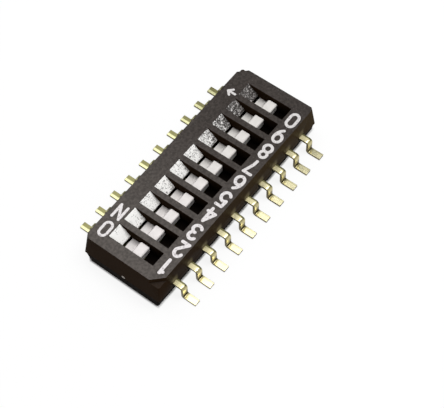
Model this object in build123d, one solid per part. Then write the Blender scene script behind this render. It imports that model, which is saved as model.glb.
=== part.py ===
from build123d import *
import os

# Ten-position slide DIP switch, half pitch, gull-wing terminals, millimetres.
# X runs along the row from position 1 to position 10, +Y is the ON side, the board is at Z = 0.

# The row of positions
pitch = 1.27
positions = 10

# Cover: a drafted lid that is widest at its foot
cover_foot_width = 5.14
cover_height = 1.55
end_margin = 1.40
side_draft = 0.07
end_draft = 0.18
side_wall = 0.45
top_plate_share = 0.4516
guide_wall = 0.16
foot_corner_cut = 0.08
tapered_foot_cut = 0.04
front_on_corner_cut = 0.26
far_number_corner_cut = 0.14
index_cut = 0.62
far_on_cut = 0.50
corner_cut_depth = 0.30

# Slots, each with a ramp at its ON end that thins the top plate to a lip
slot_length = 2.98
slot_shift = 0.02
ramp_run = 0.67
ramp_lip = 0.145

# Base: a drafted plinth below the cover, a block in its mouth, and pads that hold the terminals down
base_standoff = 0.04
plinth_height = 0.61
plinth_end_inset = 0.015
plinth_side_inset = 0.14
plinth_side_draft = 0.09
plinth_on_corner_cut = 0.26
plinth_corner_cut = 0.08
tongue_recess = 0.10
pad_height = 0.12

# Terminals: one bent strip each, with a wider fixed contact inside
terminal_thickness = 0.15
terminal_width = 0.40
terminal_lift = 0.17
bend_radius = 0.06
shoulder_reach = 0.64
foot_length = 0.79
contact_width = 0.60
contact_cover = 0.55
contact_split = 0.30

# Sliders: a nub on a flange with two runners
travel = 0.55
nub_length = 0.83
nub_recess = 0.245
nub_lean = 0.22
nub_number_round = 0.10
nub_on_round = 0.06
nub_side_bevel = 0.04
nub_corner_cut = 0.06
nub_overhang = 0.12
flange_thickness_share = 0.434
flange_lap = 0.06
runner_width = 0.12
runner_setback = 0.15

# Contact clips: spring leaves that ride under the sliders
clip_thickness = 0.06
clip_width = 0.50
clip_inset = 0.54
wiper_run_share = 0.89
wiper_reach = 0.29
wiper_curl = 0.08
wiper_curl_rise = 0.05
wiper_land = 0.08
clip_bend_radius = 0.03

# Clearances
guide_gap = 0.04
nub_gap = 0.055
flange_gap = 0.05
flange_ramp_gap = 0.11
stop_gap = 0.05
runner_gap = 0.02
wiper_gap = 0.01
floor_gap = 0.03
fit_gap = 0.03
notch_gap = 0.03
pad_gap = 0.03

# How far cuts run past the faces that they open
overrun = 0.5

# Heights worked out from the sizes above
seat_z = base_standoff + plinth_height
top_z = seat_z + cover_height
plate_under_z = top_z - cover_height * top_plate_share
terminal_z = seat_z + terminal_lift
floor_z = terminal_z + terminal_thickness
guide_foot_z = floor_z + floor_gap
flange_top_z = plate_under_z - flange_gap
flange_under_z = flange_top_z - (plate_under_z - floor_z) * flange_thickness_share
nub_top_z = top_z - nub_recess

# Places and widths across the row
row_length = pitch * (positions - 1)
centres = [pitch * place - row_length / 2 for place in range(positions)]
channel_width = pitch - guide_wall
flange_width = channel_width - 2 * guide_gap
slot_width = flange_width - 2 * flange_lap
nub_width = slot_width - 2 * nub_gap
cover_foot_length = row_length + 2 * end_margin
cover_top_length = cover_foot_length - 2 * end_draft
cover_top_width = cover_foot_width - 2 * side_draft
cavity_length = row_length + channel_width
cavity_width = cover_foot_width - 2 * side_wall

# Places along a slot, from the number side to the ON side
slot_on_y = slot_length / 2 - slot_shift
slot_number_y = slot_on_y - slot_length
ramp_foot_y = slot_on_y - ramp_run
nub_on_y = ramp_foot_y - stop_gap - travel
nub_number_y = nub_on_y - nub_length
flange_number_y = nub_number_y + nub_overhang
flange_on_y = ramp_foot_y - flange_ramp_gap
clip_y = nub_number_y + clip_inset
number_pad_y = clip_y - wiper_reach - wiper_curl - pad_gap
on_pad_y = flange_on_y - runner_setback + travel + pad_gap
number_contact_y = clip_y + wiper_reach + wiper_land
on_contact_y = number_contact_y + contact_split

# Places along a terminal, outwards from the housing
riser_y = cover_foot_width / 2 + shoulder_reach - terminal_thickness
foot_tip_y = riser_y + terminal_thickness + foot_length
contact_outer_y = cavity_width / 2 - contact_cover


def block(x_range, y_range, z_range):
    """Box between two corners."""
    size = [high - low for low, high in (x_range, y_range, z_range)]
    middle = [(high + low) / 2 for low, high in (x_range, y_range, z_range)]
    return Pos(*middle) * Box(*size)


def across(width):
    """Range of the given width, centred on zero."""
    return (-width / 2, width / 2)


def side_profile(points, width):
    """Solid with a closed outline in the YZ plane and the given width along X."""
    outline = make_face(Polyline(*points, close=True))
    return extrude(Plane.YZ * outline, amount=width / 2, both=True)


def bent_strip(points, radii, thickness, width):
    """Strip of sheet metal bent along a path in the YZ plane, which is the strip's lower face."""
    path = FilletPolyline(*points, radius=radii)
    outline = make_face(offset(path, thickness, side=Side.LEFT, closed=True))
    return extrude(Plane.YZ * outline, amount=width / 2, both=True)


def cut_rectangle(length, width, z, far_on, front_on, front_number, far_number):
    """Rectangle at height z with its own cut at each corner."""
    x = length / 2
    y = width / 2
    points = [
        (x, y - far_on, z),
        (x - far_on, y, z),
        (front_on - x, y, z),
        (-x, y - front_on, z),
        (-x, front_number - y, z),
        (front_number - x, -y, z),
        (x - far_number, -y, z),
        (x, far_number - y, z),
    ]
    return make_face(Polyline(*points, close=True))


def corner_prism(x_side, y_side, leg):
    """Prism that takes a triangle off one top corner of the cover, part of the way down."""
    x = cover_top_length / 2
    y = cover_top_width / 2
    points = [
        (x_side * (x + overrun), y_side * (y + overrun)),
        (x_side * (x + overrun), y_side * (y - leg - overrun)),
        (x_side * (x - leg - overrun), y_side * (y + overrun)),
    ]
    triangle = make_face(Polyline(*points, close=True))
    return extrude(Pos(Z=top_z - corner_cut_depth) * triangle, amount=corner_cut_depth + overrun)


def slot_cutter():
    """Slot through the top plate, with the ramp at its ON end."""
    points = [
        (slot_number_y, plate_under_z - overrun),
        (ramp_foot_y, plate_under_z - overrun),
        (ramp_foot_y, plate_under_z + ramp_lip),
        (slot_on_y, top_z),
        (slot_on_y, top_z + overrun),
        (slot_number_y, top_z + overrun),
    ]
    return side_profile(points, slot_width)


def notch_cutter():
    """Notch in both long walls of the cover, where a terminal comes out."""
    reach = cover_foot_width + 2 * overrun
    width = terminal_width + 2 * notch_gap
    return block(across(width), across(reach), (seat_z - overrun, floor_z + notch_gap))


def make_cover():
    """Lid with ramped slots, guide channels below them, notches and two cut top corners."""
    foot = cut_rectangle(
        cover_foot_length, cover_foot_width, seat_z,
        foot_corner_cut, tapered_foot_cut, foot_corner_cut, tapered_foot_cut,
    )
    top = cut_rectangle(
        cover_top_length, cover_top_width, top_z,
        foot_corner_cut, front_on_corner_cut, foot_corner_cut, far_number_corner_cut,
    )
    cover = loft([foot, top], ruled=True)
    cover -= corner_prism(-1, -1, index_cut)
    cover -= corner_prism(1, 1, far_on_cut)
    mouth = (seat_z - overrun, guide_foot_z)
    cover -= block(across(cavity_length), across(cavity_width), mouth)
    channel = block(across(channel_width), across(cavity_width), (seat_z, plate_under_z))
    for cutter in (channel, slot_cutter(), notch_cutter()):
        cover -= [Pos(X=x) * cutter for x in centres]
    return cover


def make_terminal(contact_y):
    """Gull-wing terminal of the ON side, whose fixed contact starts at contact_y."""
    points = [
        (contact_y, terminal_z),
        (riser_y, terminal_z),
        (riser_y, 0),
        (foot_tip_y, 0),
    ]
    radii = [bend_radius, bend_radius + terminal_thickness]
    strip = bent_strip(points, radii, terminal_thickness, terminal_width)
    contact = block(across(contact_width), (contact_y, contact_outer_y), (terminal_z, floor_z))
    return strip + contact


def make_base(terminals):
    """Plinth, block, tongues and pads in one moulding, formed around the terminals."""
    plinth_length = cover_foot_length - 2 * plinth_end_inset
    underside_width = cover_foot_width - 2 * plinth_side_inset
    underside = cut_rectangle(
        plinth_length, underside_width, base_standoff,
        plinth_on_corner_cut, plinth_on_corner_cut, plinth_corner_cut, plinth_corner_cut,
    )
    seat = cut_rectangle(
        plinth_length, underside_width + 2 * plinth_side_draft, seat_z,
        plinth_corner_cut, plinth_corner_cut, plinth_corner_cut, plinth_corner_cut,
    )
    base = loft([underside, seat], ruled=True)
    block_length = cavity_length - 2 * fit_gap
    block_width = cavity_width - 2 * fit_gap
    base += block(across(block_length), across(block_width), (seat_z, floor_z))
    tongue_span = cover_foot_width - 2 * tongue_recess
    tongue = block(across(terminal_width), across(tongue_span), (seat_z, terminal_z))
    pad_x = across(channel_width - 2 * fit_gap)
    pad_z = (floor_z, floor_z + pad_height)
    number_pad = block(pad_x, (-block_width / 2, number_pad_y), pad_z)
    on_pad = block(pad_x, (on_pad_y, block_width / 2), pad_z)
    for piece in (tongue, number_pad, on_pad):
        base += [Pos(X=x) * piece for x in centres]
    return base - terminals


def nub_outline(number_y, on_y, z):
    """Outline of the nub at height z, with a cut at each corner."""
    cuts = [nub_corner_cut] * 4
    return Pos(Y=(number_y + on_y) / 2) * cut_rectangle(nub_width, on_y - number_y, z, *cuts)


def make_slider():
    """Slider at position zero: nub, flange and two runners in one moulding."""
    nub = side_profile(
        [
            (flange_number_y, flange_top_z),
            (nub_on_y, flange_top_z),
            (nub_on_y - nub_lean, nub_top_z),
            (nub_number_y, nub_top_z),
        ],
        nub_width,
    )
    ridges = nub.faces().sort_by(Axis.Z)[-1].edges().filter_by(Axis.X).sort_by(Axis.Y)
    nub = fillet(ridges[0], nub_number_round)
    nub = fillet(nub.faces().sort_by(Axis.Z)[-1].edges().filter_by(Axis.X).sort_by(Axis.Y)[-1], nub_on_round)
    nub = chamfer(nub.faces().sort_by(Axis.Z)[-1].edges().filter_by(Axis.Y), nub_side_bevel)
    foot = nub_outline(flange_number_y, nub_on_y, flange_top_z)
    top = nub_outline(nub_number_y, nub_on_y - nub_lean, nub_top_z)
    nub = nub & loft([foot, top], ruled=True)
    flange = block(across(flange_width), (flange_number_y, flange_on_y), (flange_under_z, flange_top_z))
    runner = block(
        (flange_width / 2 - runner_width, flange_width / 2),
        (flange_number_y + runner_setback, flange_on_y - runner_setback),
        (floor_z + runner_gap, flange_under_z),
    )
    return nub + flange + runner + mirror(runner, about=Plane.YZ)


def make_clip():
    """Spring leaf at position zero: a flat back under the flange and two curled wipers."""
    back_z = flange_under_z - clip_thickness
    wiper_z = floor_z + wiper_gap
    back_reach = wiper_reach - (back_z - wiper_z) * wiper_run_share
    tip_reach = wiper_reach + wiper_curl
    tip_z = wiper_z + wiper_curl_rise
    points = [
        (clip_y - tip_reach, tip_z),
        (clip_y - wiper_reach, wiper_z),
        (clip_y - back_reach, back_z),
        (clip_y + back_reach, back_z),
        (clip_y + wiper_reach, wiper_z),
        (clip_y + tip_reach, tip_z),
    ]
    outer_radius = clip_bend_radius + clip_thickness
    radii = [outer_radius, clip_bend_radius, clip_bend_radius, outer_radius]
    return bent_strip(points, radii, clip_thickness, clip_width)


def save(shape, name):
    """Write one piece to its own file."""
    export_step(shape, f"parts/{name}.step")


os.makedirs("parts", exist_ok=True)

on_terminal = make_terminal(on_contact_y)
number_terminal = mirror(make_terminal(-number_contact_y), about=Plane.XZ)
slider = make_slider()
clip = make_clip()

terminals = []
for place, x in enumerate(centres, start=1):
    pieces = {
        f"terminal_on_{place}": Pos(X=x) * on_terminal,
        f"terminal_number_{place}": Pos(X=x) * number_terminal,
        f"slider_{place}": Pos(X=x) * slider,
        f"contact_clip_{place}": Pos(X=x) * clip,
    }
    for name, piece in pieces.items():
        save(piece, name)
    terminals += [pieces[f"terminal_on_{place}"], pieces[f"terminal_number_{place}"]]

save(make_cover(), "cover")
save(make_base(terminals), "base")
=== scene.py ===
# %% [markdown]
# # Dressing a ten-way slide switch
# The switch is a black moulded box, 14 mm long, with ten white sliders in ten slots and a row of
# gold-plated feet down each long side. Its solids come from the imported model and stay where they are, so
# only the print needs places of its own. This lesson softens the edges, mixes the finishes, prints the
# numbers and sets up the studio. Blender works in metres here. Finishes, edges and print are written in
# millimetres and multiplied by mm.

# %% Load the solids
import math

import bmesh
import bpy
import numpy as np
from mathutils import Matrix, Vector


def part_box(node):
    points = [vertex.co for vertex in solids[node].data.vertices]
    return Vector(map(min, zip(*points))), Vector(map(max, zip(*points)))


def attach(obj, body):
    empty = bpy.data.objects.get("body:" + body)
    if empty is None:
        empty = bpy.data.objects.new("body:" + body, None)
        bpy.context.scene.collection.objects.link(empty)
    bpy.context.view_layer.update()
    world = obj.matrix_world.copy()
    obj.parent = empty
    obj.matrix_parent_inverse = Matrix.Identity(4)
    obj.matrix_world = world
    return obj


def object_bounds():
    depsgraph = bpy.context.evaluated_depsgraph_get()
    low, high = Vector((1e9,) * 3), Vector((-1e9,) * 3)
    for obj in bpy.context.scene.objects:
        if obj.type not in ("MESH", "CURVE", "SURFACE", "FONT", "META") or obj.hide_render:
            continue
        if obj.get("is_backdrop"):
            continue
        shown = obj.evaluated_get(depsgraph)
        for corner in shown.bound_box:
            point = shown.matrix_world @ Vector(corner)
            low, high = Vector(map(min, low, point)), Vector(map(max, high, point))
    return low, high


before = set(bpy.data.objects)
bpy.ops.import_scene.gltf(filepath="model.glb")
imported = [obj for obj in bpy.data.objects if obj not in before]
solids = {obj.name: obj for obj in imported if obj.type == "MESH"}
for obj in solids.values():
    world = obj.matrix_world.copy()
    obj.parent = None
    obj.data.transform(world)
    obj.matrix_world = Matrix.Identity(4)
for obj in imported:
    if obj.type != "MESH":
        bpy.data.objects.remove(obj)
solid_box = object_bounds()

mm = 0.001
cover_low, cover_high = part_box("cover")
base_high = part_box("base")[1]
positions = range(1, 11)
row_steps = len(positions) - 1
pitch = (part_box("terminal_on_10")[0].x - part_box("terminal_on_1")[0].x) / row_steps
print("solids:", len(solids), "box in mm:", [round(x / mm, 3) for corner in solid_box for x in corner])

# %% [markdown]
# ## Camera
# The photograph was matched by a camera 68 mm from the switch that looks down at about 58 degrees.
# A camera could be aimed with a constraint, but the match also gives a small roll, so the three axes
# of the camera are written into its matrix instead. They point right in the picture, down in it and away
# from the viewer. Blender's cameras have +Y up and look along -Z, so the last two change their sign.

# %% Camera
photo_width = 444
focal_pixels = 1220.27
sensor = 36.0
far_clip = 10.0
camera_spot = Vector((-27.106, -23.067, 58.044)) * mm
right = Vector((0.604146, -0.796694, -0.016914))
down = Vector((-0.689128, -0.511684, -0.513110))
away = Vector((0.400137, 0.321649, -0.858156))

lens = bpy.data.cameras.new("photo_camera")
lens.sensor_width = sensor
lens.lens = focal_pixels / photo_width * sensor
lens.clip_start = mm
lens.clip_end = far_clip
camera = bpy.data.objects.new("photo_camera", lens)
bpy.context.scene.collection.objects.link(camera)
turn = Matrix((right, -down, -away)).transposed().to_4x4()
camera.matrix_world = Matrix.Translation(camera_spot) @ turn
bpy.context.scene.camera = camera
print("focal length in mm:", round(lens.lens, 2))

# %% [markdown]
# ## Studio
# Small parts are photographed on a white sheet under one large soft box. The sheet is a plane at the
# level of the feet. The main box hangs above the far number corner: the ramps slope that way and are
# well lit, and the ribs throw a little shade on the sliders' plates. Plating shows only what it mirrors,
# so a second box, wide and much dimmer, hangs where the feet mirror it. Its far edge is placed so that the
# near feet shine and the far ones fall back to gold. The world fills in the rest and is dimmer than both.

# %% Floor
sheet_width = 3.0


def flat_sheet(name, width):
    """Square sheet at the level of the feet."""
    half = width / 2
    corners = [(-half, -half, 0), (half, -half, 0), (half, half, 0), (-half, half, 0)]
    mesh = bpy.data.meshes.new(name)
    mesh.from_pydata(corners, [], [(0, 1, 2, 3)])
    sheet = bpy.data.objects.new(name, mesh)
    bpy.context.scene.collection.objects.link(sheet)
    sheet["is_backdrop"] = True
    return sheet


floor = flat_sheet("white_sheet", sheet_width)
print("floor:", floor.name)

# %% Lights
def soft_box(name, spot, width, watts):
    """Square area light that faces the middle of the switch."""
    lamp = bpy.data.lights.new(name, "AREA")
    lamp.shape = "SQUARE"
    lamp.size = width
    lamp.energy = watts
    holder = bpy.data.objects.new(name, lamp)
    bpy.context.scene.collection.objects.link(holder)
    holder.location = spot
    holder.rotation_mode = "QUATERNION"
    holder.rotation_quaternion = (-Vector(spot)).to_track_quat("-Z", "Y")


air_strength = 0.40
soft_box("main_box", spot=(0.036, -0.040, 0.15), width=0.09, watts=0.150)
soft_box("mirror_box", spot=(0.018, 0.062, 0.15), width=0.12, watts=0.070)
world = bpy.data.worlds.new("studio_air")
world.use_nodes = True
air = world.node_tree.nodes["Background"]
air.inputs["Color"].default_value = (1.0, 1.0, 1.0, 1)
air.inputs["Strength"].default_value = air_strength
bpy.context.scene.world = world
bpy.context.scene.view_settings.view_transform = "Standard"

# %% [markdown]
# ## Soft edges
# No moulded or stamped edge is perfectly sharp, and the thin bright line along an edge is what makes a
# small part look real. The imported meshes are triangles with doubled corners, so modifiers work in turn:
# weld the corners, dissolve the flat faces into single ones, then bevel what is left. Stamped strip has
# truly flat faces, so there the bevel hardens its normals. The faces of a moulding sink a little as it
# cools. Weighted normals, which bend the shading near a rim, give that look without any more faces.
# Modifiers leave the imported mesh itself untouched.

# %% Edge helper
same_corner = 0.0005
flat_angle = math.radians(1)
edge_angle = math.radians(35)
edge_steps = 2


def soften(solid, width, stamped=False, one_face_flats=True):
    """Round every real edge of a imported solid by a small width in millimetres."""
    weld = solid.modifiers.new("weld_corners", "WELD")
    weld.merge_threshold = same_corner * mm
    if one_face_flats:
        dissolve = solid.modifiers.new("clear_flats", "DECIMATE")
        dissolve.decimate_type = "DISSOLVE"
        dissolve.angle_limit = flat_angle
    bevel = solid.modifiers.new("soft_edge", "BEVEL")
    bevel.width = width * mm
    bevel.segments = edge_steps
    bevel.limit_method = "ANGLE"
    bevel.angle_limit = edge_angle
    bevel.use_clamp_overlap = False
    bevel.miter_outer = "MITER_ARC"
    bevel.harden_normals = stamped
    if not stamped:
        solid.modifiers.new("sunk_faces", "WEIGHTED_NORMAL").keep_sharp = False


def shown_faces(solid):
    """Number of faces after the modifiers."""
    return len(solid.evaluated_get(bpy.context.evaluated_depsgraph_get()).data.polygons)


print("faces of the cover with sharp edges:", shown_faces(solids["cover"]))

# %% Soften the solids
cover_round = 0.022
base_round = 0.012
slider_round = 0.018
strip_round = 0.015
soften(solids["cover"], cover_round, one_face_flats=False)
soften(solids["base"], base_round)
for n in positions:
    soften(solids[f"slider_{n}"], slider_round)
    soften(solids[f"terminal_on_{n}"], strip_round, stamped=True)
    soften(solids[f"terminal_number_{n}"], strip_round, stamped=True)
for name in ("cover", "base", "slider_1", "terminal_on_1"):
    print(name, "faces with soft edges:", shown_faces(solids[name]))

# %% [markdown]
# ## Finishes
# Every finish is a small node tree on the principled shader. They all need the same few steps: where on
# the part a point lies, a noise at a scale in millimetres, a range, and a tint between two colours.
# Short helpers for those steps keep each finish readable. A pair of colours or a range has a name of its
# own and is unpacked into the helper that takes it.

# %% Finish helpers
def start_finish(name, roughness, metallic=0.0, shine=0.5):
    """New node material with its constant values set on the shader itself."""
    finish = bpy.data.materials.new(name)
    finish.use_nodes = True
    shader = finish.node_tree.nodes["Principled BSDF"]
    shader.inputs["Roughness"].default_value = roughness
    shader.inputs["Metallic"].default_value = metallic
    shader.inputs["Specular IOR Level"].default_value = shine
    return finish, shader


def add(finish, kind, **values):
    """One node, with the named inputs set."""
    node = finish.node_tree.nodes.new("ShaderNode" + kind)
    for key, value in values.items():
        node.inputs[key].default_value = value
    return node


def join(finish, source, target):
    """Link two sockets."""
    finish.node_tree.links.new(source, target)


def wear(solid, finish):
    """Give a solid this finish alone."""
    solid.data.materials.clear()
    solid.data.materials.append(finish)


print("finish helpers ready")

# %% Place helpers
def place_in_mm(finish, stretch=(1, 1, 1)):
    """Place on the part in millimetres, with each axis stretched."""
    where = add(finish, "TexCoord")
    scale = add(finish, "Mapping", Scale=[s / mm for s in stretch])
    join(finish, where.outputs["Object"], scale.inputs["Vector"])
    return scale.outputs["Vector"]


def axes_of(finish, vector):
    """The X, Y and Z of a vector."""
    node = add(finish, "SeparateXYZ")
    join(finish, vector, node.inputs[0])
    return node.outputs


def facing_of(finish):
    """Which way the surface faces, as X, Y and Z."""
    return axes_of(finish, add(finish, "TexCoord").outputs["Normal"])


def noise(finish, place, per_mm, detail=2.0, roughness=0.5, warp=0.0):
    """Noise with the given number of waves in each millimetre."""
    node = add(finish, "TexNoise", Scale=per_mm, Detail=detail, Roughness=roughness, Distortion=warp)
    join(finish, place, node.inputs["Vector"])
    return node.outputs["Fac"]


print("place helpers ready")

# %% Value helpers
def spread(finish, value, low, high, to_low=0.0, to_high=1.0):
    """Move a range of values to another range, eased and held at both ends."""
    node = add(finish, "MapRange")
    node.interpolation_type = "SMOOTHSTEP"
    range_sockets = node.inputs[1:5]
    for socket, number in zip(range_sockets, (low, high, to_low, to_high)):
        socket.default_value = number
    join(finish, value, node.inputs[0])
    return node.outputs[0]


def fade(finish, value, low, high, from_share=1.0):
    """A share below a range of values that falls to nothing above it."""
    return spread(finish, value, low, high, from_share, 0.0)


def calc(finish, operation, first, second=None):
    """One calculation with a value and, where it needs one, a second value or number."""
    node = add(finish, "Math")
    node.operation = operation
    join(finish, first, node.inputs[0])
    if isinstance(second, float):
        node.inputs[1].default_value = second
    elif second is not None:
        join(finish, second, node.inputs[1])
    return node.outputs[0]


def product(finish, first, *others):
    """Product of two or more values."""
    for other in others:
        first = calc(finish, "MULTIPLY", first, other)
    return first


def size_of(finish, value):
    """A value without its sign."""
    return calc(finish, "ABSOLUTE", value)


def place_in_lane(finish, along_row):
    """Share of the way across the lane of a strip, whatever its number in the row."""
    return calc(finish, "FRACT", calc(finish, "MULTIPLY", along_row, mm / pitch))


# The row is centred and has an even number of strips, so each strip's middle is at half its lane.
lane_middle = 0.5
print("value helpers ready, lanes in mm:", round(pitch / mm, 3))

# %% Colour helpers
def tint(finish, amount, first, second, blend="MIX"):
    """Colour between two colours. A colour is a tuple or a node's, the amount a number or a node's."""
    node = add(finish, "Mix")
    node.data_type = "RGBA"
    node.blend_type = blend
    colour_sockets = (node.inputs[6], node.inputs[7])
    for socket, setting in zip((node.inputs[0], *colour_sockets), (amount, first, second)):
        if isinstance(setting, tuple):
            socket.default_value = (*setting, 1)
        elif isinstance(setting, float):
            socket.default_value = setting
        else:
            join(finish, setting, socket)
    return node.outputs[2]


def multiply(finish, first, second):
    """Product of two colours."""
    return tint(finish, 1.0, first, second, "MULTIPLY")


def grain(finish, shader, height, depth):
    """Fine relief, a depth in millimetres, from a height between 0 and 1."""
    bump = add(finish, "Bump", Distance=depth * mm)
    join(finish, height, bump.inputs["Height"])
    join(finish, bump.outputs["Normal"], shader.inputs["Normal"])


print("colour helpers ready")

# %% [markdown]
# ## White sheet
# Paper is matt and nearly white. A very faint cloud keeps it from being one flat colour. A real sheet is
# lit far beyond the edges of the picture, which here would take more lamps and overexpose the switch.
# Instead, most of what the camera sees of the sheet is plain white and the rest is lit paper, which keeps
# the shadow. Close to the body the share of paper grows, so that the shadow is deepest where the switch
# nearly touches the sheet. Along the sides, where light comes in between the legs, it is narrower.
# Mirroring metal gets the same view, and the light that the sheet bounces stays that of paper.

# %% Sheet finish
paper_tones = ((0.93, 0.93, 0.93), (0.96, 0.96, 0.96))
paper, shader = start_finish("sheet_paper", roughness=0.9, shine=0.1)
place = place_in_mm(paper)
cloud = noise(paper, place, per_mm=0.03)
join(paper, tint(paper, cloud, *paper_tones), shader.inputs["Base Color"])
wear(floor, paper)
print("sheet:", paper.name)

# %% Shadow round the body
plain_most = 0.86
shade_at_end = 0.12
shade_at_side = 0.05
corner_cut = 0.26
spot = axes_of(paper, place)
end_reach = size_of(paper, spot["X"])
past_end = calc(paper, "SUBTRACT", end_reach, base_high.x / mm)
side_reach = size_of(paper, spot["Y"])
past_side = calc(paper, "SUBTRACT", side_reach, base_high.y / mm + shade_at_side - shade_at_end)
corner_reach = calc(paper, "ADD", end_reach, spot["Y"])
past_corner = calc(paper, "SUBTRACT", corner_reach, (base_high.x + base_high.y) / mm - corner_cut)
past_body = calc(paper, "MAXIMUM", calc(paper, "MAXIMUM", past_end, past_side), past_corner)
plain_share = spread(paper, past_body, 0.0, shade_at_end, 0.0, plain_most)
print("shadow at the ends and sides in mm:", shade_at_end, shade_at_side)

# %% Plain white for the camera
ray = add(paper, "LightPath").outputs
seen = calc(paper, "MAXIMUM", ray["Is Camera Ray"], ray["Is Glossy Ray"])
seen = calc(paper, "MAXIMUM", seen, ray["Is Transmission Ray"])
plain = add(paper, "Emission", Color=(1, 1, 1, 1), Strength=1.0)
blend = add(paper, "MixShader")
join(paper, product(paper, seen, plain_share), blend.inputs[0])
join(paper, shader.outputs[0], blend.inputs[1])
join(paper, plain.outputs[0], blend.inputs[2])
join(paper, blend.outputs[0], paper.node_tree.nodes["Material Output"].inputs["Surface"])
print("plain white share, at most:", plain_most)

# %% [markdown]
# ## Black housing plastic
# The mould of such a cover is spark-eroded on top, which leaves an even, slightly dusty grey grain, and
# polished on its walls, which come out nearly black. The grey of the top is partly a painted sheen, the
# soft light that the grain mirrors. Two materials on separate faces would show a seam at the rounded
# edges, so one finish reads which way the surface faces and changes smoothly. The top is painted lighter
# towards position 1, as painted sheen, and the sunk corners are painted darker, as painted shade. The
# gold strips throw a little of their light back on the wall above them. The renderer would need many more
# samples to find that path, so a faint warm glow over each strip is mixed into the finish.

# %% Cover top
dust_and_sheen_near = ((0.084, 0.075, 0.069), (0.106, 0.095, 0.088))
dust_and_sheen_far = ((0.040, 0.034, 0.031), (0.055, 0.048, 0.044))
painted_sheen_fades = (-8.0, 5.0)
mottle_tones = ((0.84, 0.84, 0.84), (1.25, 1.24, 1.23))
mottle_range = (0.32, 0.68)
speck_tone = (0.125, 0.115, 0.107)
speck_range = (0.58, 0.80)

housing, shader = start_finish("housing_plastic", roughness=0.5, shine=0.004)
place = place_in_mm(housing)
spot = axes_of(housing, place)
fine = noise(housing, place, per_mm=13.0, detail=3.0, roughness=0.6)
mottle = noise(housing, place, per_mm=6.0, detail=2.0, roughness=0.6)
cloud = noise(housing, place, per_mm=0.9, detail=3.0, roughness=0.6)
near_end = tint(housing, cloud, *dust_and_sheen_near)
far_end = tint(housing, cloud, *dust_and_sheen_far)
# Painted sheen: the top's dusty tone is painted lighter towards position 1.
dust_and_sheen_tone = tint(housing, spread(housing, spot["X"], *painted_sheen_fades), near_end, far_end)
mottled = tint(housing, spread(housing, mottle, *mottle_range), *mottle_tones)
dust_and_sheen_tone = multiply(housing, dust_and_sheen_tone, mottled)
dust_and_sheen_tone = tint(housing, spread(housing, fine, *speck_range), dust_and_sheen_tone, speck_tone)
# The range printed here is where the painted sheen fades out along X.
print("dust thins out along X, in mm:", painted_sheen_fades)

# %% Cover walls
wall_near = ((0.0165, 0.0088, 0.0042), (0.0215, 0.0122, 0.0064))
wall_far = ((0.0310, 0.0195, 0.0078), (0.0390, 0.0250, 0.0104))
wall_lightens = (-7.0, 6.0)
number_wall = (cover_low.y / mm + 0.1, cover_low.y / mm + 0.4)

near_wall = tint(housing, cloud, *wall_near)
far_wall = tint(housing, cloud, *wall_far)
outer = fade(housing, spot["Y"], *number_wall)
along = product(housing, outer, spread(housing, spot["X"], *wall_lightens))
smooth = tint(housing, along, near_wall, far_wall)
print("number wall lies below Y, in mm:", round(number_wall[0], 3))

# %% Light from the strips
glow_tone = (0.19, 0.16, 0.09)
glow_off_middle = (0.06, 0.24)
glow_heights = (0.95, 1.60)
row_end = len(positions) / 2 * pitch / mm
glow_ends = (row_end - 0.2, row_end)
glow_walls = (cover_high.y / mm - 0.3, cover_high.y / mm - 0.1)

lane = place_in_lane(housing, spot["X"])
off_middle = size_of(housing, calc(housing, "SUBTRACT", lane, lane_middle))
glow = product(
    housing,
    fade(housing, off_middle, *glow_off_middle),
    fade(housing, spot["Z"], *glow_heights),
    fade(housing, size_of(housing, spot["X"]), *glow_ends),
    spread(housing, size_of(housing, spot["Y"]), *glow_walls),
)
smooth = tint(housing, glow, smooth, glow_tone)
print("glow ends at height, in mm:", glow_heights[1])

# %% Cover finish
top_slopes = (0.80, 0.97)
sunk_levels = (cover_high.z / mm - 0.2, cover_high.z / mm - 0.1)
sunk_shade_share = 0.15
polish_to_grain = (0.42, 0.66)
cover_grain = 0.004

# Upward faces get the dusty tone with its painted sheen. Sunk ledges keep little of it, as painted shade.
upward = spread(housing, facing_of(housing)["Z"], *top_slopes)
out_of_sunk_shade = spread(housing, spot["Z"], *sunk_levels, sunk_shade_share, 1.0)
dust_and_sheen = product(housing, upward, out_of_sunk_shade)
join(housing, tint(housing, dust_and_sheen, smooth, dust_and_sheen_tone), shader.inputs["Base Color"])
join(housing, spread(housing, upward, 0.0, 1.0, *polish_to_grain), shader.inputs["Roughness"])
grain(housing, shader, fine, cover_grain)
wear(solids["cover"], housing)
print("cover:", housing.name)

# %% [markdown]
# ## Base plastic
# The base is moulded from another grade, a flatter black with short glass fibres that show as faint
# streaks. It only shows as a band under the cover, and from below. Its noise is drawn out along the row,
# the way the plastic flowed, which costs nothing and needs no fibres of its own.

# %% Base finish
flow_stretch = (0.35, 1.0, 1.0)
base_tones = ((0.0040, 0.0026, 0.0020), (0.0085, 0.0060, 0.0046))
base_sheen = (0.3, 0.7, 0.5, 0.7)
base_grain = 0.003

plinth, shader = start_finish("base_plastic", roughness=0.6, shine=0.01)
streak = noise(plinth, place_in_mm(plinth, flow_stretch), per_mm=7.0, detail=3.0, roughness=0.6)
join(plinth, tint(plinth, streak, *base_tones), shader.inputs["Base Color"])
join(plinth, spread(plinth, streak, *base_sheen), shader.inputs["Roughness"])
grain(plinth, shader, streak, base_grain)
wear(solids["base"], plinth)
print("base:", plinth.name)

# %% [markdown]
# ## White sliders
# The sliders are a tough, slightly warm white plastic with a satin skin. Handling leaves faint grey
# smudges on it. A painted picture could hold them, but a slow noise gives each of the ten its own smudges
# from one finish: it tints the white a little and also changes how satin it looks. The white is also
# painted greyer along the row towards the last slider, as painted shade where less light falls.

# %% Slider finish
near_lit_tones = ((0.86, 0.815, 0.80), (0.71, 0.67, 0.66))
far_shaded_tones = ((0.77, 0.74, 0.71), (0.61, 0.59, 0.56))
painted_shade_grows = (-6.0, 4.0)
satin = (0.3, 0.7, 0.34, 0.50)
slider_grain = 0.0015

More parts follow.
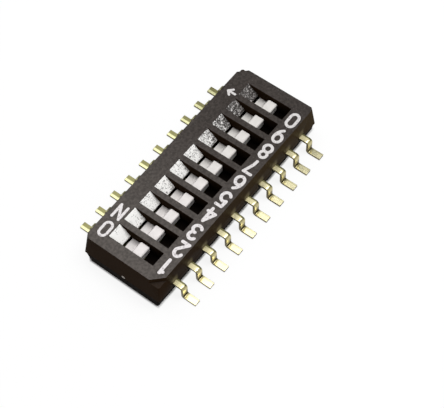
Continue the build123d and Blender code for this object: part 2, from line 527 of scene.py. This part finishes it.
ivory, shader = start_finish("slider_plastic", roughness=0.4, shine=0.4)
place = place_in_mm(ivory)
smudge = noise(ivory, place, per_mm=3.4, detail=3.0, roughness=0.6)
fine = noise(ivory, place, per_mm=16.0)
near_lit = tint(ivory, smudge, *near_lit_tones)
far_shaded = tint(ivory, smudge, *far_shaded_tones)
# Painted shade: the white greys along the row towards the last slider.
painted_row_shade = spread(ivory, axes_of(ivory, place)["X"], *painted_shade_grows)
join(ivory, tint(ivory, painted_row_shade, near_lit, far_shaded), shader.inputs["Base Color"])
join(ivory, spread(ivory, smudge, *satin), shader.inputs["Roughness"])
grain(ivory, shader, fine, slider_grain)
for n in positions:
    wear(solids[f"slider_{n}"], ivory)
print("sliders:", ivory.name)

# %% [markdown]
# ## Gold plating
# The terminals are stamped from rolled strip that was plated before, with thin gold that looks paler and
# greener than solid gold. Rolling leaves fine lines along the strip, so the noise is stretched that way,
# and the plating is duller where it is thin. The sheared edges have no plating of their own and show a
# dark olive alloy. The legs, which face out from the long sides, are painted darker as a painted
# reflection of the dark surroundings they mirror, darkest low down at the lower bend, and the heel of each
# foot next to its leg gets the same painted dark reflection.
# The feet were pressed flat in the last stage of the tool, so they mirror more clearly than the rest. One
# long side of each strip is painted olive as a painted dark reflection, as wide as half the strip in the
# ON row. The ON row gets a darker, greener copy of the gold, a painted reflection of the darker things its
# strips mirror. One function makes all three metals, because only their colours and the painted dark side
# differ.

# %% Plating values
foot_length = 0.79
heel_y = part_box("terminal_on_1")[1].y / mm - foot_length
heel_reach = (heel_y + 0.05, heel_y + 0.22)
heel_share = 0.7
foot_to_leg = (0.30, 0.60)
dark_reflection_heights = (0.36, 0.66)
low_leg_dark_reflection = (0.060, 0.048, 0.015)
heel_dark_reflection = (0.10, 0.08, 0.025)
dark_side_olive = (0.20, 0.19, 0.085)
sheared_faces = (0.35, 0.85)
mirroring_leg_facings = (0.2, 0.8)
top_faces = (0.3, 0.8)
rolling_stretch = (1.0, 0.08, 0.3)
pressed_sheen = (0.3, 0.7, 0.16, 0.26)
rolled_more = 0.18
rolling_depth = 0.0012
print("heel of the feet at, in mm:", round(heel_y, 3))

# %% Plating helper
def plating(name, bright, dull, leg_reflection, edge, dark_side_lane=(0.07, 0.12), dark_side_on_feet=0.3):
    """Metal with rolling lines, patches of thinner plating, dark sheared edges, and painted dark
    reflections on legs, heels and one side.
    """
    metal, shader = start_finish(name, roughness=0.3, metallic=1.0)
    place = place_in_mm(metal)
    spot = axes_of(metal, place)
    facing = facing_of(metal)
    patch = noise(metal, place, per_mm=2.6, detail=3.0, roughness=0.6)
    # Painted reflection: faces that point out from the long sides, the legs, get a darker tone, darkest
    # low down.
    leg_reflection_tone = tint(metal, spread(metal, spot["Z"], *dark_reflection_heights), low_leg_dark_reflection, leg_reflection)
    mirroring_legs = spread(metal, size_of(metal, facing["Y"]), *mirroring_leg_facings)
    plated = tint(metal, mirroring_legs, tint(metal, patch, bright, dull), leg_reflection_tone)
    # Painted reflection: one long side of each strip is painted olive, fully on the shoulders and partly
    # on the feet.
    lane_side = [lane_middle + reach * mm / pitch for reach in dark_side_lane]
    dark_side_reflection = product(
        metal,
        spread(metal, place_in_lane(metal, spot["X"]), *lane_side),
        spread(metal, spot["Z"], *foot_to_leg, dark_side_on_feet, 1.0),
        spread(metal, facing["Z"], *top_faces),
    )
    plated = tint(metal, dark_side_reflection, plated, dark_side_olive)
    # Painted reflection: the heel of each foot, next to its leg, is darkened.
    heel_reflection = fade(metal, size_of(metal, spot["Y"]), *heel_reach, heel_share)
    heel_reflection = product(metal, heel_reflection, fade(metal, spot["Z"], *foot_to_leg))
    plated = tint(metal, heel_reflection, plated, heel_dark_reflection)
    sheared = spread(metal, size_of(metal, facing["X"]), *sheared_faces)
    join(metal, tint(metal, sheared, plated, edge), shader.inputs["Base Color"])
    pressed = spread(metal, patch, *pressed_sheen)
    rolled = spread(metal, spot["Z"], *foot_to_leg, 0.0, rolled_more)
    join(metal, calc(metal, "ADD", pressed, rolled), shader.inputs["Roughness"])
    lines = noise(metal, place_in_mm(metal, rolling_stretch), per_mm=30.0)
    grain(metal, shader, lines, rolling_depth)
    return metal


print("plating helper ready, rolling lines in mm deep:", rolling_depth)

# %% Plating finish
dark_olive = (0.09, 0.07, 0.02)
gold = plating(
    "terminal_gold",
    bright=(0.91, 0.855, 0.565), dull=(0.82, 0.755, 0.44), leg_reflection=(0.56, 0.50, 0.26), edge=dark_olive,
)
# Painted reflection: the ON row gets a darker, greener copy of the gold.
on_gold_painted_reflection = plating(
    "terminal_gold_on",
    bright=(0.68, 0.67, 0.40), dull=(0.58, 0.57, 0.30), leg_reflection=(0.42, 0.39, 0.17), edge=dark_olive,
    dark_side_lane=(-0.08, 0.0), dark_side_on_feet=1.0,
)
spring = plating(
    "clip_gold",
    bright=(0.80, 0.66, 0.30), dull=(0.66, 0.52, 0.20), leg_reflection=(0.60, 0.47, 0.18), edge=(0.30, 0.24, 0.08),
)
for n in positions:
    wear(solids[f"terminal_on_{n}"], on_gold_painted_reflection)
    wear(solids[f"terminal_number_{n}"], gold)
    wear(solids[f"contact_clip_{n}"], spring)
print("metals:", gold.name, on_gold_painted_reflection.name, spring.name)

# %% [markdown]
# ## Printed numbers
# The numbers are pad-printed: white ink, a few thousandths of a millimetre thick, with round-ended
# strokes. A text object would need a font and gives square ends. Here every sign is a pen path, written in
# shares of its width and height. A fine grid measures the distance to the path, and the ink fills every
# cell nearer than half the pen's width. Cells at the rim are cut where the distance crosses that line, so
# strokes that meet merge into one clean outline.

# %% Pen paths
def arc(u, v, across, up, start, end, steps=16):
    """Points on an ellipse from one angle to another, in degrees."""
    angles = np.radians(np.linspace(start, end, steps))
    return [(u + across * math.cos(a), v + up * math.sin(a)) for a in angles]


ring = arc(0.5, 0.72, 0.5, 0.28, 0, 180) + arc(0.5, 0.28, 0.5, 0.28, 180, 360) + [(1.0, 0.72)]
six = arc(0.92, 0.34, 0.92, 0.66, 112, 180) + arc(0.5, 0.31, 0.5, 0.31, 180, 540, 40)
signs = {
    "1": [[(0.22, 0.86), (0.40, 0.91), (0.52, 1.0), (0.52, 0.0)]],
    "2": [arc(0.38, 0.70, 0.48, 0.30, 165, -20) + [(-0.12, 0.0), (0.84, 0.0)]],
    "3": [arc(0.48, 0.755, 0.46, 0.245, 155, -90) + arc(0.48, 0.26, 0.52, 0.26, 80, -150)],
    "4": [[(0.72, 0.0), (0.72, 1.0), (0.0, 0.27), (1.0, 0.27)]],
    "5": [[(0.92, 1.0), (0.14, 1.0), (0.08, 0.56)] + arc(0.46, 0.32, 0.52, 0.32, 132, -148, 28)],
    "6": [six],
    "7": [[(0.0, 1.0), (1.0, 1.0), (0.70, 0.60), (0.50, 0.30), (0.44, 0.0)]],
    "8": [arc(0.5, 0.76, 0.43, 0.24, 0, 360, 32), arc(0.5, 0.27, 0.5, 0.27, 0, 360, 32)],
    "9": [[(1 - u, 1 - v) for u, v in six]],
    "0": [ring],
    "N": [[(0.0, 0.0), (0.0, 1.0), (1.0, 0.0), (1.0, 1.0)]],
    "arrow": [[(0.0, 0.5), (1.0, 0.5)], [(0.55, 0.95), (1.0, 0.5), (0.55, 0.05)]],
}
print("signs:", len(signs))

# %% Depth of the ink
rim_waver = 0.05
rim_waves = ((21, 9), (-6, 17))
no_length = 1e-12


def ink_depth(paths, size, pen, spots):
    """How far each spot lies inside the ink; the rim wavers a little, as print does."""
    spots = spots[..., None, :]
    nearest = np.full(spots.shape[:-2], np.inf)
    for path in paths:
        line = np.array(path) * (np.array(size) - pen)
        start, run = line[:-1], np.diff(line, axis=0)
        share = ((spots - start) * run).sum(-1) / np.maximum((run ** 2).sum(-1), no_length)
        foot = start + np.clip(share, 0, 1)[..., None] * run
        nearest = np.minimum(nearest, np.linalg.norm(spots - foot, axis=-1).min(-1))
    u, v = spots[..., 0, 0], spots[..., 0, 1]
    waver = rim_waver
    for across, up in rim_waves:
        waver = waver * np.sin(across * u + up * v)
    return pen / 2 * (1 + waver) - nearest


print("rim of the ink wavers by a share of:", rim_waver)

# %% Outline of the ink
def ink_cells(depth, step, corner):
    """Corner points and polygons of the inked part of a grid."""
    points, index, polygons = [], {}, []

    def point(key, u, v):
        if key not in index:
            index[key] = len(points)
            points.append((corner[0] + u * step, corner[1] + v * step))
        return index[key]

    for i in range(depth.shape[0] - 1):
        for j in range(depth.shape[1] - 1):
            corners = [(i, j), (i + 1, j), (i + 1, j + 1), (i, j + 1)]
            if max(depth[c] for c in corners) <= 0:
                continue
            polygon = []
            for a, b in zip(corners, corners[1:] + corners[:1]):
                if depth[a] > 0:
                    polygon.append(point(a, *a))
                if (depth[a] > 0) != (depth[b] > 0):
                    cut = depth[a] / (depth[a] - depth[b])
                    crossing = np.array(a) + cut * (np.array(b) - a)
                    polygon.append(point(tuple(sorted((a, b))), *crossing))
            polygons.append(polygon)
    return points, polygons


print("ink helpers ready")

# %% Film helpers
def thicken(shape, drop):
    """Give a sheet of faces its thickness: a second sheet, moved by a vector, and a rim between them."""
    rim = bmesh.ops.extrude_face_region(shape, geom=shape.faces[:])
    lowered = [g for g in rim["geom"] if isinstance(g, bmesh.types.BMVert)]
    bmesh.ops.translate(shape, verts=lowered, vec=drop)
    bmesh.ops.recalc_face_normals(shape, faces=shape.faces)


def add_to_housing(name, shape):
    """Turn a finished shape into a piece that rides on the housing."""
    mesh = bpy.data.meshes.new(name)
    shape.to_mesh(mesh)
    shape.free()
    piece = bpy.data.objects.new(name, mesh)
    bpy.context.scene.collection.objects.link(piece)
    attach(piece, "housing")
    return piece


print("film helpers ready")

# %% Print helper
ink_thickness = 0.006 * mm
ink_sunk = 0.5
grid_step = 0.0125
nearly_straight = math.radians(1.5)


def print_sign(name, sign, middle, size, pen):
    """Print one sign on the cover's top; its top edge points along -X, its right side along +Y."""
    columns = np.arange(-pen, size[0] + pen, grid_step)
    rows = np.arange(-pen, size[1] + pen, grid_step)
    spots = np.stack(np.meshgrid(columns, rows, indexing="ij"), -1)
    points, polygons = ink_cells(ink_depth(signs[sign], size, pen, spots), grid_step, (-pen, -pen))
    left = middle[1] - (size[0] - pen) / 2
    bottom = middle[0] + (size[1] - pen) / 2
    top_level = cover_high.z + ink_thickness
    shape = bmesh.new()
    corners = [shape.verts.new(((bottom - v) * mm, (left + u) * mm, top_level)) for u, v in points]
    for polygon in polygons:
        shape.faces.new([corners[k] for k in polygon])
    bmesh.ops.dissolve_limit(shape, angle_limit=nearly_straight, verts=shape.verts, edges=shape.edges)
    thicken(shape, (0, 0, -(1 + ink_sunk) * ink_thickness))
    return add_to_housing(name, shape)


print("ink thickness in mm:", ink_thickness / mm)

# %% [markdown]
# ## White ink
# Pad printing leaves the ink thinner in the middle of wide strokes, where the grain of the plastic shows
# through as pale grey specks. The strokes get thinner towards the last position, and the white is a little
# greyer that way. A noise does the specks and the place along the row the greying, so one finish serves
# every sign.

# %% Ink finish
ink_tones = ((0.75, 0.72, 0.72), (0.64, 0.62, 0.61))
ink_fades = (-5.0, 6.0)
thin_tone = (0.40, 0.36, 0.37)
thin_range = (0.51, 0.69)
ink_grain = 0.002

ink, shader = start_finish("white_ink", roughness=0.55, shine=0.3)
place = place_in_mm(ink)
speck = noise(ink, place, per_mm=11.0, detail=3.0, roughness=0.6)
full = tint(ink, spread(ink, axes_of(ink, place)["X"], *ink_fades), *ink_tones)
thin = spread(ink, speck, *thin_range)
join(ink, tint(ink, thin, full, thin_tone), shader.inputs["Base Color"])
grain(ink, shader, speck, ink_grain)
print("ink:", ink.name)

# %% Print the signs
number_line = -2.03
first_number = -5.83
number_pitch = 1.266
number_size = (0.65, 1.10)
first_pen = 0.192
pen_loss = 0.0025
for k, sign in enumerate("1234567890"):
    middle = (first_number + k * number_pitch, number_line)
    wear(print_sign(f"number_{sign}", sign, middle, number_size, first_pen - k * pen_loss), ink)
for name, sign, middle, size, pen in (
    ("on_letter_o", "0", (-5.945, 1.875), (0.61, 1.06), 0.155),
    ("on_letter_n", "N", (-4.70, 1.92), (0.60, 1.00), 0.155),
    ("on_arrow", "arrow", (5.10, 1.86), (0.62, 0.62), 0.14),
):
    wear(print_sign(name, sign, middle, size, pen), ink)

# %% [markdown]
# ## Painted ramps
# At its ON end each slot has a ramp that is painted white, so that the travel of a slider shows. The
# paint is worn: nearly whole at the first positions and rubbed down to specks at the last. Cutting
# holes in a mesh would take far too many faces, so a thin film lies on each ramp and its finish mixes
# paint and bare plastic, with the wear growing along the row. The film is measured from the cover's own
# sloping faces and folds down over the lip at the foot of each ramp, as far as the brush reached.

# %% Find the ramps
least_lean = 0.5
least_rise = 0.6
most_rise = 0.9
least_area = 0.02 * mm * mm
cover_mesh = solids["cover"].data
ramp_corners = {}
for face in cover_mesh.polygons:
    sloping = face.normal.y < -least_lean and least_rise < face.normal.z < most_rise
    if sloping and face.area > least_area:
        number = round(face.center.x / pitch + row_steps / 2) + 1
        spots = [cover_mesh.vertices[v].co for v in face.vertices]
        ramp_corners.setdefault(number, []).extend(spots)
print("ramps found:", sorted(ramp_corners))

# %% Ramp films
film_inset = 0.012 * mm
film_thickness = 0.005 * mm
film_sunk = 0.6
film_rows = 12
film_waver = 0.4
film_waves = 9
film_shift = 2
lip_cover = 0.085 * mm


def ramp_film(number, spots):
    """Thin film on one ramp, with rows of points along it so that its edges can waver."""
    low = Vector([min(s[k] for s in spots) for k in range(3)])
    high = Vector([max(s[k] for s in spots) for k in range(3)])
    along = Vector((0, high.y - low.y, high.z - low.z))
    lift = Vector((0, -along.z, along.y)).normalized() * film_thickness
    inset = along.normalized() * film_inset
    fold = [Vector((0, low.y - film_thickness, low.z - drop)) for drop in (lip_cover, film_inset)]
    start = Vector((0, low.y, low.z)) + inset + lift
    slope = [start + (along - 2 * inset) * k / film_rows for k in range(film_rows + 1)]
    shape = bmesh.new()
    grid = []
    for k, ridge in enumerate(fold + slope):
        ease = film_waver * film_inset * math.sin(film_waves * k / film_rows + film_shift * number)
        left = shape.verts.new((low.x + film_inset + ease, ridge.y, ridge.z))
        right = shape.verts.new((high.x - film_inset + ease, ridge.y, ridge.z))
        grid.append((left, right))
    for (a, b), (c, d) in zip(grid, grid[1:]):
        shape.faces.new((a, b, d, c))
    thicken(shape, -(1 + film_sunk) * lift)
    return add_to_housing(f"ramp_paint_{number}", shape)


films = [ramp_film(number, spots) for number, spots in sorted(ramp_corners.items())]
print("ramp films:", len(films))

# %% Where the paint is gone
rubbed_first = (-8.0, -1.0, -0.24, -0.07)
rubbed_last = (0.0, 4.6, 0.0, 0.13)
rubbed_through = (0.46, 0.54)
scratch_width = (0.006, 0.026)
scratch_places = (0.44, 0.54)
scratch_share = 0.75
noise_middle = 0.5

paint, shader = start_finish("ramp_paint", roughness=0.5, shine=0.25)
place = place_in_mm(paint)
spot = axes_of(paint, place)
speck = noise(paint, place, per_mm=9.0, detail=4.0, roughness=0.8, warp=0.6)
rubbed = calc(
    paint, "ADD",
    spread(paint, spot["X"], *rubbed_first),
    spread(paint, spot["X"], *rubbed_last),
)
bare = spread(paint, calc(paint, "ADD", speck, rubbed), *rubbed_through)
curl = noise(paint, place, per_mm=4.5, detail=1.0, warp=1.5)
off_line = size_of(paint, calc(paint, "SUBTRACT", curl, noise_middle))
scratched = spread(paint, noise(paint, place, per_mm=1.9, detail=1.0), *scratch_places)
scratch = product(paint, fade(paint, off_line, *scratch_width), scratched, scratch_share)
bare = calc(paint, "MAXIMUM", bare, scratch)
print("paint is rubbed through at a noise of:", rubbed_through)

# %% Worn paint
paint_tones = ((0.985, 0.975, 0.95), (0.60, 0.57, 0.55))
paint_thins = (2.0, 6.0)
bare_plastic = (0.055, 0.049, 0.046)
paint_grain = 0.003

thick = tint(paint, spread(paint, spot["X"], *paint_thins), *paint_tones)
join(paint, tint(paint, bare, thick, bare_plastic), shader.inputs["Base Color"])
grain(paint, shader, speck, paint_grain)
for film in films:
    wear(film, paint)
print("paint:", paint.name)

# %% [markdown]
# ## Gate scar
# A moulding is broken off its runner at the gate, and the break leaves a small pale scar. On this cover it
# sits low on the end wall next to position 1. A spot in the wall's finish could show its colour, but not
# its raised rim. So it is a flattened drop, pressed into the sloping wall, which stands out by less than
# the wall leans back.

# %% Gate scar
scar_length = 0.24 * mm
scar_height = 0.14 * mm
scar_rise = 0.008 * mm
scar_y = -0.12 * mm
scar_lift = 0.10 * mm
scar_ripple = 0.12
scar_lobes = 3
hair = 0.01 * mm
cover_spots = [v.co for v in cover_mesh.vertices]
foot_x = min(c.x for c in cover_spots if c.z < cover_low.z + hair)
crest_x = min(c.x for c in cover_spots if c.z > cover_high.z - hair)
lean = (crest_x - foot_x) / (cover_high.z - cover_low.z)

shape = bmesh.new()
bmesh.ops.create_uvsphere(shape, u_segments=20, v_segments=10, radius=0.5)
for corner in shape.verts:
    out, side, up = corner.co
    ripple = 1 + scar_ripple * math.sin(scar_lobes * math.atan2(side, up))
    height = scar_lift + up * scar_height
    wall_x = foot_x + lean * height
    corner.co = (wall_x + 2 * out * scar_rise, scar_y + side * scar_length * ripple, cover_low.z + height)
scar = add_to_housing("gate_scar", shape)
scar.data.polygons.foreach_set("use_smooth", [True] * len(scar.data.polygons))
print("end wall leans back by, in mm:", round((crest_x - foot_x) / mm, 3))

# %% Broken plastic
broken_tones = ((0.20, 0.17, 0.15), (0.62, 0.58, 0.54))
broken_grain = 0.004
broken, shader = start_finish("broken_plastic", roughness=0.75, shine=0.2)
crumb = noise(broken, place_in_mm(broken), per_mm=20.0, detail=3.0, roughness=0.6)
join(broken, tint(broken, crumb, *broken_tones), shader.inputs["Base Color"])
grain(broken, shader, crumb, broken_grain)
wear(scar, broken)
print("gate scar:", broken.name)

# %% [markdown]
# ## Size and finish
# The looks must not make the switch any bigger, so the box of the solids and the box of the dressed
# switch are written side by side.

# %% Write the sizes
dressed_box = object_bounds()
growth = [round((b - a) / mm, 4) for p, q in zip(solid_box, dressed_box) for a, b in zip(p, q)]
print("growth in mm:", growth)
